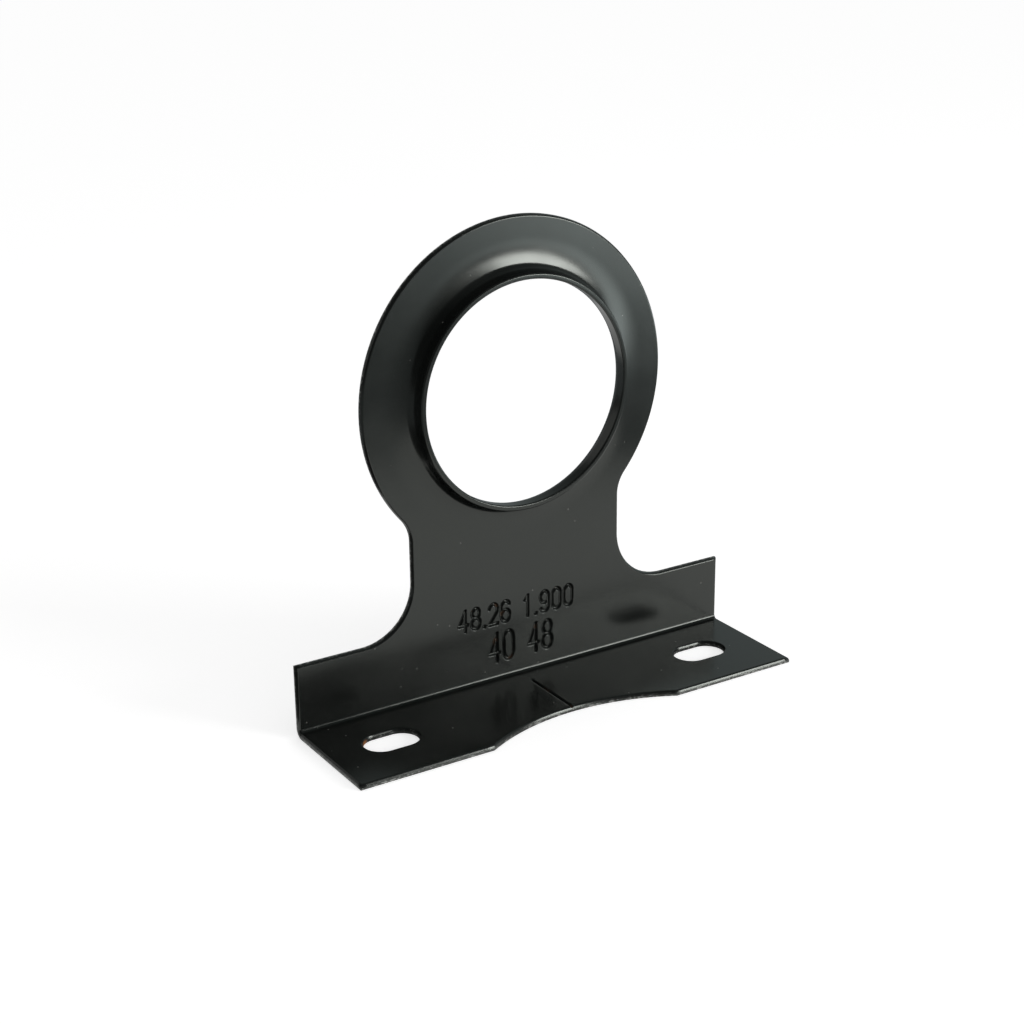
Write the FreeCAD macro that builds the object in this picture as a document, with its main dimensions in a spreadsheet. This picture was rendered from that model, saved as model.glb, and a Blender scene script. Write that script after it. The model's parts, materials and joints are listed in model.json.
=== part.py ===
# Pipe stay: one blank of sheet steel, pierced and drawn to a collar that a pipe slides through,
# folded once to a foot flange with two fixing slots.
# Frame: X runs along the fold, Z is up, the flange reaches towards -Y.
# Origin: on the underside of the flange, midway between the two slots. Millimetres.

import FreeCAD, Part
import math
import os
import Sketcher

Vector = FreeCAD.Vector
Constraint = Sketcher.Constraint

# The origin of a sketch and its two axes, as constraints name them.
ORIGIN = (-1, 1)
H_AXIS = -1
V_AXIS = -2

# Ends and middle of a line or an arc, as constraints name them.
START = 1
END = 2
CENTRE = 3

DIMENSIONS = [
    ("sheet_thickness", 1.25),
    ("fold_radius", 0.9),
    ("overall_width", 110.0),
    ("flange_reach", 28.6),
    ("slot_line", 14.4),
    ("slot_spacing", 80.2),
    ("slot_length", 12.4),
    ("slot_width", 7.9),
    ("notch_radius", 48.0),
    ("notch_width", 47.0),
    ("strip_height", 16.5),
    ("neck_width", 53.2),
    ("foot_fillet", 12.4),
    ("throat_fillet", 8.0),
    ("ring_diameter", 74.8),
    ("axis_height", 67.4),
    ("bore_diameter", 49.2),
    ("collar_reach", 4.6),
    ("collar_fillet", 2.0),
    ("dish_diameter", 64.0),
    ("dish_radius", 17.0),
    ("rim_break", 0.3),
    ("edge_break", 0.35),
    ("mark_length", 16.0),
    ("mark_width", 0.9),
    ("mark_depth", 0.4),
]

doc = FreeCAD.newDocument("pipe_stay_model")
sheet = doc.addObject("Spreadsheet::Sheet", "dimensions")
for row, (alias, value) in enumerate(DIMENSIONS, start=1):
    sheet.set(f"A{row}", alias)
    sheet.set(f"B{row}", str(value))
    sheet.setAlias(f"B{row}", alias)
doc.recompute()
size = {alias: getattr(sheet, alias) for alias, _ in DIMENSIONS}


def plane_of(body, role):
    """The body's own origin plane with this role."""
    return next(feature for feature in body.Origin.OriginFeatures if feature.Role == role)


def new_sketch(body, name, role):
    sketch = body.newObject("Sketcher::SketchObject", name)
    sketch.AttachmentSupport = [(plane_of(body, role), "")]
    sketch.MapMode = "FlatFace"
    return sketch


def line(sketch, start, end, construction=False):
    return sketch.addGeometry(Part.LineSegment(Vector(*start, 0), Vector(*end, 0)), construction)


def arc(sketch, centre, radius, from_angle, to_angle):
    """Arc drawn anticlockwise between two angles in degrees."""
    circle = Part.Circle(Vector(*centre, 0), Vector(0, 0, 1), radius)
    bounds = math.radians(from_angle), math.radians(to_angle)
    return sketch.addGeometry(Part.ArcOfCircle(circle, *bounds), False)


def rule(sketch, kind, *where):
    sketch.addConstraint(Constraint(kind, *where))


def measure(sketch, kind, name, expression, *where):
    """A dimension of the sketch that follows the sheet."""
    index = sketch.addConstraint(Constraint(kind, *where))
    sketch.renameConstraint(index, name)
    sketch.setExpression(f"Constraints.{name}", expression)


def cut_through(body, name, sketch, reverse):
    """Pocket right through the sheet, checked to have removed material."""
    doc.recompute()
    before = body.Shape.Volume
    pocket = body.newObject("PartDesign::Pocket", name)
    pocket.Profile = sketch
    pocket.Type = "ThroughAll"
    pocket.Reversed = reverse
    doc.recompute()
    if body.Shape.Volume > before - 1.0:
        raise RuntimeError(f"{name} cut nothing")
    return pocket


def fold_section(body):
    """Section across the fold: the quarter turn and the flange, seen along +X."""
    thick = size["sheet_thickness"]
    rear = size["slot_line"]
    outer = thick + size["fold_radius"]
    front = rear - size["flange_reach"]
    sketch = new_sketch(body, "fold_section", "YZ_Plane")
    hub = (rear - outer, outer)
    outside = arc(sketch, hub, outer, 270, 360)
    underside = line(sketch, (rear - outer, 0), (front, 0))
    nose = line(sketch, (front, 0), (front, thick))
    topside = line(sketch, (front, thick), (rear - outer, thick))
    inside = arc(sketch, hub, size["fold_radius"], 270, 360)
    joint = line(sketch, (rear - thick, outer), (rear, outer))
    rule(sketch, "Tangent", outside, START, underside, START)
    rule(sketch, "Coincident", underside, END, nose, START)
    rule(sketch, "Coincident", nose, END, topside, START)
    rule(sketch, "Tangent", topside, END, inside, START)
    rule(sketch, "Coincident", inside, END, joint, START)
    rule(sketch, "Coincident", joint, END, outside, END)
    rule(sketch, "Coincident", inside, CENTRE, outside, CENTRE)
    rule(sketch, "Horizontal", underside)
    rule(sketch, "Horizontal", topside)
    rule(sketch, "Horizontal", joint)
    rule(sketch, "Vertical", nose)
    rule(sketch, "Horizontal", outside, CENTRE, outside, END)
    rule(sketch, "PointOnObject", underside, START, H_AXIS)
    measure(sketch, "Radius", "inside_radius", "dimensions.fold_radius", inside, size["fold_radius"])
    measure(sketch, "DistanceY", "thickness", "dimensions.sheet_thickness",
            nose, START, nose, END, thick)
    measure(sketch, "DistanceX", "rear_face", "dimensions.slot_line", *ORIGIN, joint, END, rear)
    measure(sketch, "DistanceX", "reach", "dimensions.flange_reach",
            underside, END, joint, END, size["flange_reach"])
    return sketch


def upright_outline(body):
    """Front view of the upright: end strip, neck and ring, joined by fillets."""
    half_width = size["overall_width"] / 2
    half_neck = size["neck_width"] / 2
    foot = size["sheet_thickness"] + size["fold_radius"]
    strip = size["strip_height"]
    low = size["foot_fillet"]
    high = size["throat_fillet"]
    ring = size["ring_diameter"] / 2
    axis = size["axis_height"]
    throat_side = half_neck + high
    throat_drop = math.sqrt((ring + high) ** 2 - throat_side ** 2)
    lean = math.degrees(math.atan2(throat_drop, throat_side))
    throat = axis - throat_drop
    sketch = new_sketch(body, "upright_outline", "XZ_Plane")
    sketch.setExpression("AttachmentOffset.Base.z", "-dimensions.slot_line")
    base = line(sketch, (-half_width, foot), (half_width, foot))
    right_end = line(sketch, (half_width, foot), (half_width, strip))
    right_top = line(sketch, (half_width, strip), (half_neck + low, strip))
    right_low = arc(sketch, (half_neck + low, strip + low), low, 180, 270)
    right_neck = line(sketch, (half_neck, strip + low), (half_neck, throat))
    right_high = arc(sketch, (throat_side, throat), high, 180 - lean, 180)
    crown = arc(sketch, (0, axis), ring, -lean, 180 + lean)
    left_high = arc(sketch, (-throat_side, throat), high, 0, lean)
    left_neck = line(sketch, (-half_neck, throat), (-half_neck, strip + low))
    left_low = arc(sketch, (-half_neck - low, strip + low), low, 270, 360)
    left_top = line(sketch, (-half_neck - low, strip), (-half_width, strip))
    left_end = line(sketch, (-half_width, strip), (-half_width, foot))
    rule(sketch, "Coincident", base, END, right_end, START)
    rule(sketch, "Coincident", right_end, END, right_top, START)
    rule(sketch, "Tangent", right_top, END, right_low, END)
    rule(sketch, "Tangent", right_low, START, right_neck, START)
    rule(sketch, "Tangent", right_neck, END, right_high, END)
    rule(sketch, "Tangent", right_high, START, crown, START)
    rule(sketch, "Tangent", crown, END, left_high, END)
    rule(sketch, "Tangent", left_high, START, left_neck, START)
    rule(sketch, "Tangent", left_neck, END, left_low, END)
    rule(sketch, "Tangent", left_low, START, left_top, START)
    rule(sketch, "Coincident", left_top, END, left_end, START)
    rule(sketch, "Coincident", left_end, END, base, START)
    for upright in (right_end, right_neck, left_neck, left_end):
        rule(sketch, "Vertical", upright)
    for level in (right_top, left_top):
        rule(sketch, "Horizontal", level)
    rule(sketch, "Horizontal", right_end, END, left_top, END)
    rule(sketch, "Symmetric", base, START, base, END, V_AXIS)
    rule(sketch, "Equal", right_low, left_low)
    rule(sketch, "Equal", right_high, left_high)
    rule(sketch, "PointOnObject", crown, CENTRE, V_AXIS)
    measure(sketch, "DistanceX", "width", "dimensions.overall_width",
            base, START, base, END, size["overall_width"])
    measure(sketch, "DistanceY", "foot", "dimensions.sheet_thickness + dimensions.fold_radius",
            *ORIGIN, base, END, foot)
    measure(sketch, "DistanceY", "strip", "dimensions.strip_height", *ORIGIN, right_end, END, strip)
    measure(sketch, "Radius", "low_fillet", "dimensions.foot_fillet", right_low, low)
    measure(sketch, "Radius", "high_fillet", "dimensions.throat_fillet", right_high, high)
    measure(sketch, "Radius", "ring", "dimensions.ring_diameter / 2", crown, ring)
    measure(sketch, "DistanceY", "axis", "dimensions.axis_height", *ORIGIN, crown, CENTRE, axis)
    measure(sketch, "DistanceX", "right_half_neck", "dimensions.neck_width / 2",
            *ORIGIN, right_neck, START, half_neck)
    measure(sketch, "DistanceX", "left_half_neck", "dimensions.neck_width / 2",
            left_neck, START, *ORIGIN, half_neck)
    return sketch


def notch_circle(body):
    """Circle that bites the shallow notch out of the flange's front edge."""
    radius = size["notch_radius"]
    half_chord = size["notch_width"] / 2
    front = size["slot_line"] - size["flange_reach"]
    centre = (0, front - math.sqrt(radius ** 2 - half_chord ** 2))
    sketch = new_sketch(body, "notch_circle", "XY_Plane")
    bite = sketch.addGeometry(Part.Circle(Vector(*centre, 0), Vector(0, 0, 1), radius), False)
    chord = line(sketch, (-half_chord, front), (half_chord, front), construction=True)
    rule(sketch, "PointOnObject", bite, CENTRE, V_AXIS)
    rule(sketch, "PointOnObject", chord, START, bite)
    rule(sketch, "PointOnObject", chord, END, bite)
    rule(sketch, "Horizontal", chord)
    measure(sketch, "Radius", "bite", "dimensions.notch_radius", bite, radius)
    measure(sketch, "DistanceX", "opening", "dimensions.notch_width",
            chord, START, chord, END, size["notch_width"])
    measure(sketch, "DistanceY", "edge", "dimensions.flange_reach - dimensions.slot_line",
            chord, END, *ORIGIN, -front)
    return sketch


def slot_outline(body):
    """One fixing slot, lengthwise along X, to the right of the origin."""
    radius = size["slot_width"] / 2
    half_run = size["slot_length"] / 2 - radius
    middle = size["slot_spacing"] / 2
    sketch = new_sketch(body, "slot_outline", "XY_Plane")
    outer_end = arc(sketch, (middle + half_run, 0), radius, -90, 90)
    rear_side = line(sketch, (middle + half_run, radius), (middle - half_run, radius))
    inner_end = arc(sketch, (middle - half_run, 0), radius, 90, 270)
    front_side = line(sketch, (middle - half_run, -radius), (middle + half_run, -radius))
    rule(sketch, "Tangent", outer_end, END, rear_side, START)
    rule(sketch, "Tangent", rear_side, END, inner_end, START)
    rule(sketch, "Tangent", inner_end, END, front_side, START)
    rule(sketch, "Tangent", front_side, END, outer_end, START)
    rule(sketch, "Equal", outer_end, inner_end)
    rule(sketch, "PointOnObject", outer_end, CENTRE, H_AXIS)
    rule(sketch, "PointOnObject", inner_end, CENTRE, H_AXIS)
    run = "(dimensions.slot_length - dimensions.slot_width) / 2"
    measure(sketch, "Radius", "end_radius", "dimensions.slot_width / 2", outer_end, radius)
    measure(sketch, "DistanceX", "outer_centre", f"dimensions.slot_spacing / 2 + {run}",
            *ORIGIN, outer_end, CENTRE, middle + half_run)
    measure(sketch, "DistanceX", "inner_centre", f"dimensions.slot_spacing / 2 - {run}",
            *ORIGIN, inner_end, CENTRE, middle - half_run)
    return sketch


def dish_circle(body):
    """Circle inside which the flat sheet gives way to the drawn collar."""
    radius = size["dish_diameter"] / 2
    axis = size["axis_height"]
    sketch = new_sketch(body, "dish_circle", "XZ_Plane")
    rim = sketch.addGeometry(Part.Circle(Vector(0, axis, 0), Vector(0, 0, 1), radius), False)
    rule(sketch, "PointOnObject", rim, CENTRE, V_AXIS)
    measure(sketch, "Radius", "dish", "dimensions.dish_diameter / 2", rim, radius)
    measure(sketch, "DistanceY", "axis", "dimensions.axis_height", *ORIGIN, rim, CENTRE, axis)
    return sketch


def collar_section(body):
    """Section of the drawn collar above the pipe's axis, seen along +X.

    The sheet leaves its plane in a gentle dish, turns through the collar's fillet and runs
    out along the pipe at the same thickness, to a rim with broken edges.
    """
    thick = size["sheet_thickness"]
    axis = size["axis_height"]
    rear = size["slot_line"]
    front = rear - thick
    bore = size["bore_diameter"] / 2
    dish = size["dish_diameter"] / 2
    sweep = size["dish_radius"]
    fillet = size["collar_fillet"]
    rim = front - size["collar_reach"]
    edge = size["rim_break"]
    turn_height = bore + thick + fillet
    slope = math.asin((dish - turn_height) / (sweep - fillet))
    dish_hub = (front - sweep, axis + dish)
    turn_hub = (dish_hub[0] + (sweep - fillet) * math.cos(slope), axis + turn_height)
    slope = math.degrees(slope)
    sketch = new_sketch(body, "collar_section", "YZ_Plane")
    dish_front = arc(sketch, dish_hub, sweep, -slope, 0)
    turn_front = arc(sketch, turn_hub, fillet, -90, -slope)
    wall_outside = line(sketch, (turn_hub[0], axis + bore + thick), (rim + edge, axis + bore + thick))
    rim_outer = line(sketch, (rim + edge, axis + bore + thick), (rim, axis + bore + thick - edge))
    rim_face = line(sketch, (rim, axis + bore + thick - edge), (rim, axis + bore + edge))
    rim_inner = line(sketch, (rim, axis + bore + edge), (rim + edge, axis + bore))
    wall_inside = line(sketch, (rim + edge, axis + bore), (turn_hub[0], axis + bore))
    turn_rear = arc(sketch, turn_hub, fillet + thick, -90, -slope)
    dish_rear = arc(sketch, dish_hub, sweep + thick, -slope, 0)
    seam = line(sketch, (rear, axis + dish), (front, axis + dish))
    pipe_axis = line(sketch, (0, axis), (rear, axis), construction=True)
    rule(sketch, "Tangent", dish_front, START, turn_front, END)
    rule(sketch, "Tangent", turn_front, START, wall_outside, START)
    rule(sketch, "Coincident", wall_outside, END, rim_outer, START)
    rule(sketch, "Coincident", rim_outer, END, rim_face, START)
    rule(sketch, "Coincident", rim_face, END, rim_inner, START)
    rule(sketch, "Coincident", rim_inner, END, wall_inside, START)
    rule(sketch, "Tangent", wall_inside, END, turn_rear, START)
    rule(sketch, "Tangent", turn_rear, END, dish_rear, START)
    rule(sketch, "Coincident", dish_rear, END, seam, START)
    rule(sketch, "Coincident", seam, END, dish_front, END)
    rule(sketch, "Coincident", dish_front, CENTRE, dish_rear, CENTRE)
    rule(sketch, "Coincident", turn_front, CENTRE, turn_rear, CENTRE)
    for level in (wall_outside, wall_inside, seam, pipe_axis):
        rule(sketch, "Horizontal", level)
    rule(sketch, "Vertical", rim_face)
    rule(sketch, "Horizontal", dish_front, CENTRE, dish_front, END)
    rule(sketch, "PointOnObject", pipe_axis, START, V_AXIS)
    measure(sketch, "DistanceX", "axis_end", "dimensions.slot_line",
            pipe_axis, START, pipe_axis, END, rear)
    measure(sketch, "DistanceY", "axis", "dimensions.axis_height", *ORIGIN, pipe_axis, START, axis)
    measure(sketch, "DistanceX", "rear_face", "dimensions.slot_line", *ORIGIN, seam, START, rear)
    measure(sketch, "DistanceX", "thickness", "dimensions.sheet_thickness",
            seam, END, seam, START, thick)
    measure(sketch, "DistanceY", "bore", "dimensions.bore_diameter / 2",
            pipe_axis, START, wall_inside, START, bore)
    measure(sketch, "DistanceY", "dish", "dimensions.dish_diameter / 2",
            pipe_axis, START, seam, END, dish)
    measure(sketch, "Radius", "dish_sweep", "dimensions.dish_radius", dish_front, sweep)
    measure(sketch, "Radius", "turn", "dimensions.collar_fillet", turn_front, fillet)
    measure(sketch, "DistanceX", "outer_break_run", "dimensions.rim_break",
            rim_outer, END, rim_outer, START, edge)
    measure(sketch, "DistanceY", "outer_break_rise", "dimensions.rim_break",
            rim_outer, END, rim_outer, START, edge)
    measure(sketch, "DistanceX", "inner_break_run", "dimensions.rim_break",
            rim_inner, START, rim_inner, END, edge)
    measure(sketch, "DistanceY", "inner_break_rise", "dimensions.rim_break",
            rim_inner, END, rim_inner, START, edge)
    measure(sketch, "DistanceX", "reach", "dimensions.collar_reach",
            rim_face, START, seam, END, size["collar_reach"])
    return sketch


def mark_section(body):
    """Section of the scored centre line, a shallow vee in the top of the flange."""
    thick = size["sheet_thickness"]
    half = size["mark_width"] / 2
    depth = size["mark_depth"]
    sketch = new_sketch(body, "mark_section", "XZ_Plane")
    start = "dimensions.mark_length + dimensions.slot_line - dimensions.flange_reach"
    sagitta = ("dimensions.notch_radius - sqrt(dimensions.notch_radius ^ 2"
               " - (dimensions.notch_width / 2) ^ 2)")
    sketch.setExpression("AttachmentOffset.Base.z", f"-({start} + {sagitta})")
    across = line(sketch, (-half, thick), (half, thick))
    right_flank = line(sketch, (half, thick), (0, thick - depth))
    left_flank = line(sketch, (0, thick - depth), (-half, thick))
    rule(sketch, "Coincident", across, END, right_flank, START)
    rule(sketch, "Coincident", right_flank, END, left_flank, START)
    rule(sketch, "Coincident", left_flank, END, across, START)
    rule(sketch, "Symmetric", across, START, across, END, V_AXIS)
    rule(sketch, "PointOnObject", right_flank, END, V_AXIS)
    measure(sketch, "DistanceX", "mark_width", "dimensions.mark_width",
            across, START, across, END, 2 * half)
    measure(sketch, "DistanceY", "level", "dimensions.sheet_thickness", *ORIGIN, across, END, thick)
    measure(sketch, "DistanceY", "mark_depth", "dimensions.mark_depth",
            right_flank, END, right_flank, START, depth)
    return sketch


def punched_edges(shape):
    """Names of the edges on the punched side of the sheet: front of the upright, top of the flange."""
    front = size["slot_line"] - size["sheet_thickness"]
    top = size["sheet_thickness"]
    foot = top + size["fold_radius"]
    half_width = size["overall_width"] / 2
    near = 1e-4
    names = []
    for index, edge in enumerate(shape.Edges, start=1):
        places = [edge.valueAt(edge.FirstParameter + part * (edge.LastParameter - edge.FirstParameter))
                  for part in (0.0, 0.3, 0.7, 1.0)]
        on_front = all(abs(p.y - front) < near and p.z > foot - near for p in places)
        on_top = all(abs(p.z - top) < near and p.y < front - size["fold_radius"] + near for p in places)
        on_end = all(abs(abs(p.x) - half_width) < near for p in places)
        in_fold = on_end and all(p.y < front + near and top - near < p.z < foot + near for p in places)
        fold_line = on_front and all(abs(p.z - foot) < near for p in places)
        flange_line = on_top and all(abs(p.y - front + size["fold_radius"]) < near for p in places)
        if (on_front or on_top or in_fold) and not (fold_line or flange_line):
            names.append(f"Edge{index}")
    return names


def build_stay():
    body = doc.addObject("PartDesign::Body", "pipe_stay")
    body.Label = "pipe_stay"

    fold = body.newObject("PartDesign::Pad", "fold_and_flange")
    fold.Profile = fold_section(body)
    fold.SideType = "Symmetric"
    fold.setExpression("Length", "dimensions.overall_width")
    doc.recompute()

    upright = body.newObject("PartDesign::Pad", "upright")
    upright.Profile = upright_outline(body)
    upright.setExpression("Length", "dimensions.sheet_thickness")
    doc.recompute()

    cut_through(body, "notch", notch_circle(body), reverse=True)
    slot = cut_through(body, "fixing_slot", slot_outline(body), reverse=True)
    slots = body.newObject("PartDesign::Mirrored", "fixing_slots")
    slots.Originals = [slot]
    slots.MirrorPlane = (plane_of(body, "YZ_Plane"), [""])
    body.Tip = slots
    doc.recompute()

    broken = body.newObject("PartDesign::Chamfer", "broken_edges")
    broken.Base = (slots, punched_edges(slots.Shape))
    broken.setExpression("Size", "dimensions.edge_break")
    doc.recompute()

    cut_through(body, "dish_clearance", dish_circle(body), reverse=False)
    collar = body.newObject("PartDesign::Revolution", "drawn_collar")
    section = collar_section(body)
    collar.Profile = section
    collar.ReferenceAxis = (section, ["Axis0"])
    collar.Angle = 360
    doc.recompute()

    mark = body.newObject("PartDesign::Pocket", "centre_mark")
    mark.Profile = mark_section(body)
    mark.Reversed = True
    mark.setExpression("Length", "dimensions.mark_length + 2 * dimensions.edge_break")
    doc.recompute()
    return body


def check(document, part):
    """Stop unless every object is sound and the stay is one closed solid."""
    for item in document.Objects:
        if "Invalid" in item.State or "Error" in item.State:
            raise RuntimeError(f"{item.Name} failed: {item.State}")
    shape = part.Shape
    if shape.isNull() or not shape.isValid() or len(shape.Solids) != 1:
        raise RuntimeError(f"{part.Label} is not one valid solid")


stay = build_stay()
check(doc, stay)
box = stay.Shape.optimalBoundingBox()
print(f"{stay.Label}: {box.XLength:.2f} x {box.YLength:.2f} x {box.ZLength:.2f} mm,"
      f" {stay.Shape.Volume:.1f} mm3, {len(stay.Shape.Faces)} faces")
os.makedirs("parts", exist_ok=True)
stay.Shape.exportStep(f"parts/{stay.Label}.step")
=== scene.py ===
"""Looks of the pipe stay: black enamel over a stamped, drawn and folded sheet.

The visual stay is made as the real one is. The blank is laid out flat with its collar drawn, the
marks are pressed into it, and it is folded along the flange.
"""

import json
import math

import bmesh
import bpy
import numpy as np
from mathutils import Matrix, Vector
from mathutils.geometry import delaunay_2d_cdt


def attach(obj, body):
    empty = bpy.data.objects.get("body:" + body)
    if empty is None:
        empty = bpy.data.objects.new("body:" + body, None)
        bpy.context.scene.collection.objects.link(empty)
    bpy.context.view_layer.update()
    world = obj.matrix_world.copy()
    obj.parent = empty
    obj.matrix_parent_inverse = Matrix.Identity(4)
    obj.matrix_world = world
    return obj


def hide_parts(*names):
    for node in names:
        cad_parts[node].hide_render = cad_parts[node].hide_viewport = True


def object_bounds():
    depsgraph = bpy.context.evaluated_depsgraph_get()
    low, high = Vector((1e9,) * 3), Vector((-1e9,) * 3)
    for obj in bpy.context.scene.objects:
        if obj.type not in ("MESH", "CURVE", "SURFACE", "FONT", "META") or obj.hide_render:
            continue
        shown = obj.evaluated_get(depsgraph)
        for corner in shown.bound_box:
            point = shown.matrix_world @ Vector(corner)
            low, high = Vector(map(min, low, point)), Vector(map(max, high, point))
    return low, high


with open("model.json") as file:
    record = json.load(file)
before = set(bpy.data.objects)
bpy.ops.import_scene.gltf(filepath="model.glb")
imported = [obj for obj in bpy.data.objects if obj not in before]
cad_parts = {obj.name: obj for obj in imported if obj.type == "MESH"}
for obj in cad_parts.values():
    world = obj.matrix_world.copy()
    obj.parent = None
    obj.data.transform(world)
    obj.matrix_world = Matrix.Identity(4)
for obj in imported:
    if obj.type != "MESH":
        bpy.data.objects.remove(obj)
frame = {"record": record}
cad_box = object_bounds()

MM = 0.001
mounts = {mount["name"]: mount for mount in frame["record"]["mounts"]}

# Sizes of the stay in millimetres. The collar's and the slots' come from the record.
THICKNESS = 1.25
FOLD_RADIUS = 0.8
FLANGE_REACH = 28.6
REAR_FACE = 14.4
FRONT_FACE = REAR_FACE - THICKNESS
STRIP_HEIGHT = 16.5
HALF_WIDTH = cad_box[1][0] / MM
HALF_NECK = 26.6
FOOT_FILLET = 12.4
THROAT_FILLET = 8.0
RING_RADIUS = 37.4
AXIS_HEIGHT = mounts["pipe_bore"]["pos_m"][2] / MM
BORE_RADIUS = mounts["pipe_bore"]["dims"]["r_mm"]
COLLAR_REACH = 4.6
COLLAR_FILLET = 2.0
DISH_RIM = 33.0
DISH_SLOPE = 14.0
DISH_EASE = 1.5
RIM_ROUND = 0.38
NOTCH_RADIUS = 48.0
HALF_NOTCH = 23.5
SLOT_MIDDLE = mounts["fixing_slots"]["dims"]["spacing_x_mm"] / 2
SLOT_LENGTH = mounts["fixing_slots"]["dims"]["slot_length_mm"]
SLOT_RADIUS = mounts["fixing_slots"]["dims"]["hole_r_mm"]

# Where the blank's flat parts meet the fold, measured up the flat blank.
FOLD_TOP = THICKNESS + FOLD_RADIUS
FOLD_LENGTH = math.pi / 2 * (FOLD_RADIUS + THICKNESS / 2)
FOLD_FOOT = FOLD_TOP - FOLD_LENGTH
HUB = FRONT_FACE - FOLD_RADIUS

# How finely the mesh is divided: runs in millimetres, arcs in degrees, the rest in rows.
RUN_STEP = 1.5
FILLET_STEP = 3
RING_STEP = 1.25
NOTCH_STEP = 1.0
MARKED_NOTCH_STEP = 0.12
MARKED_NOTCH_END = 88.6
FOLD_ROWS = 18
DISH_ROWS = 20
ROLL_ROWS = 8
COLLAR_STEPS = 288

# Sheared edges: the roll-over, the draft of the smooth land and the roughness of the broken rest.
OUTER_SHEAR = (0.5, 0.11, 1.0)
SLOT_SHEAR = (0.35, 0.1, 0.45)

# The slope in degrees where the roll-over ends, the rows between the land's two ends, how much of
# the roughness the land and the break's start have, and how deep the break's two corners are.
ROLL_END = 70
LAND_SHARES = (0.67, 0.33)
LAND_ROUGHNESS = 0.1
BREAK_START_ROUGHNESS = 0.3
BREAK_CORNER = 0.06


def flat_height(y):
    """How high on the flat blank a point of the flange lies, from its y once folded."""
    return FOLD_FOOT - (HUB - y)


# Patches of fine grid where marks are pressed in, as two corners on the flat blank and a pitch.
MARKED_PATCHES = [
    ((-16.6, 13.4), (16.8, 20.2), 0.1),
    ((-9.2, 4.2), (9.6, 12.9), 0.1),
    ((-0.9, flat_height(-7.0)), (0.9, flat_height(8.9)), 0.15),
]
NUMERAL_ROWS = [
    {"text": "48.26 1.900", "left": -15.4, "base": 14.4,
     "height": 4.8, "width": 2.15, "advance": 3.16},
    {"text": "40 48", "left": -7.7, "base": 5.3,
     "height": 6.7, "width": 2.5, "advance": 3.62},
]
NARROW_ADVANCES = {".": 0.42, " ": 0.82}
NUMERAL_GROOVE = {"Half Width": 0.5 * MM, "Depth": -0.52 * MM}
CENTRE_MARK = [(0, flat_height(7.95)), (0, flat_height(-16))]
CENTRE_GROOVE = {"Half Width": 0.42 * MM, "Depth": -0.36 * MM}

# Rust at the left end of the left slot: its middle, the distance over which it fades, its strength
# there before it is cut off at 1, and how steeply it sets in where the steel starts to be broken.
RUSTED_SPOT = (-SLOT_MIDDLE - SLOT_LENGTH / 2 + 1.4, flat_height(2.9))
RUST_FADE = 0.7
RUST_STRENGTH = 1.8
RUST_ONSET = 8


# The flat blank.

def folded(places):
    """Blank coordinates (x, height, depth under the punched face) turned to the folded stay."""
    x, height, depth = places.T
    turn = np.clip((FOLD_TOP - height) / FOLD_LENGTH, 0, 1) * math.pi / 2
    reach = FOLD_RADIUS + depth
    y = HUB + reach * np.cos(turn) - np.clip(FOLD_FOOT - height, 0, None)
    z = FOLD_TOP - reach * np.sin(turn) + np.clip(height - FOLD_TOP, 0, None)
    return np.column_stack([x, y, z])


def arc(centre, radius, start, end, step):
    """Points of an arc with both its ends, angles in degrees."""
    count = max(2, math.ceil(abs(end - start) / step) + 1)
    turns = np.radians(np.linspace(start, end, count))
    return np.column_stack([centre[0] + radius * np.cos(turns), centre[1] + radius * np.sin(turns)])


def run(start, end, step):
    """Points of a straight edge with both its ends."""
    count = max(2, math.ceil(math.dist(start, end) / step) + 1)
    return np.linspace(start, end, count)


def joined(*pieces):
    """Runs and arcs strung together, each shared end kept once."""
    points = np.vstack(pieces)
    keep = np.ones(len(points), bool)
    keep[1:] = np.linalg.norm(np.diff(points, axis=0), axis=1) > 1e-6
    return points[keep]


def fold_heights():
    """Heights of the rows that the blank is folded along, from the upright's side down."""
    return np.linspace(FOLD_TOP, FOLD_FOOT, FOLD_ROWS + 1)


def blank_outline():
    """Outline of the flat blank, anticlockwise from the middle of the notch."""
    front = flat_height(REAR_FACE - FLANGE_REACH)
    notch = (0, front - math.sqrt(NOTCH_RADIUS ** 2 - HALF_NOTCH ** 2))
    notch_end = 90 - math.degrees(math.asin(HALF_NOTCH / NOTCH_RADIUS))
    throat_side = HALF_NECK + THROAT_FILLET
    throat_drop = math.sqrt((RING_RADIUS + THROAT_FILLET) ** 2 - throat_side ** 2)
    throat = (throat_side, AXIS_HEIGHT - throat_drop)
    lean = math.degrees(math.atan2(throat_drop, throat_side))
    foot = (HALF_NECK + FOOT_FILLET, STRIP_HEIGHT + FOOT_FILLET)
    rows = [(HALF_WIDTH, height) for height in fold_heights()[::-1]]
    right = joined(
        arc(notch, NOTCH_RADIUS, 90, MARKED_NOTCH_END, MARKED_NOTCH_STEP),
        arc(notch, NOTCH_RADIUS, MARKED_NOTCH_END, notch_end, NOTCH_STEP),
        run((HALF_NOTCH, front), (HALF_WIDTH, front), RUN_STEP),
        run((HALF_WIDTH, front), rows[0], RUN_STEP),
        np.array(rows),
        run(rows[-1], (HALF_WIDTH, STRIP_HEIGHT), RUN_STEP),
        run((HALF_WIDTH, STRIP_HEIGHT), (foot[0], STRIP_HEIGHT), RUN_STEP),
        arc(foot, FOOT_FILLET, 270, 180, FILLET_STEP),
        run((HALF_NECK, foot[1]), (HALF_NECK, throat[1]), RUN_STEP),
        arc(throat, THROAT_FILLET, 180, 180 - lean, FILLET_STEP),
        arc((0, AXIS_HEIGHT), RING_RADIUS, -lean, 90, RING_STEP),
    )
    left = right[-2:0:-1] * (-1, 1)
    return np.vstack([right, left])


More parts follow.
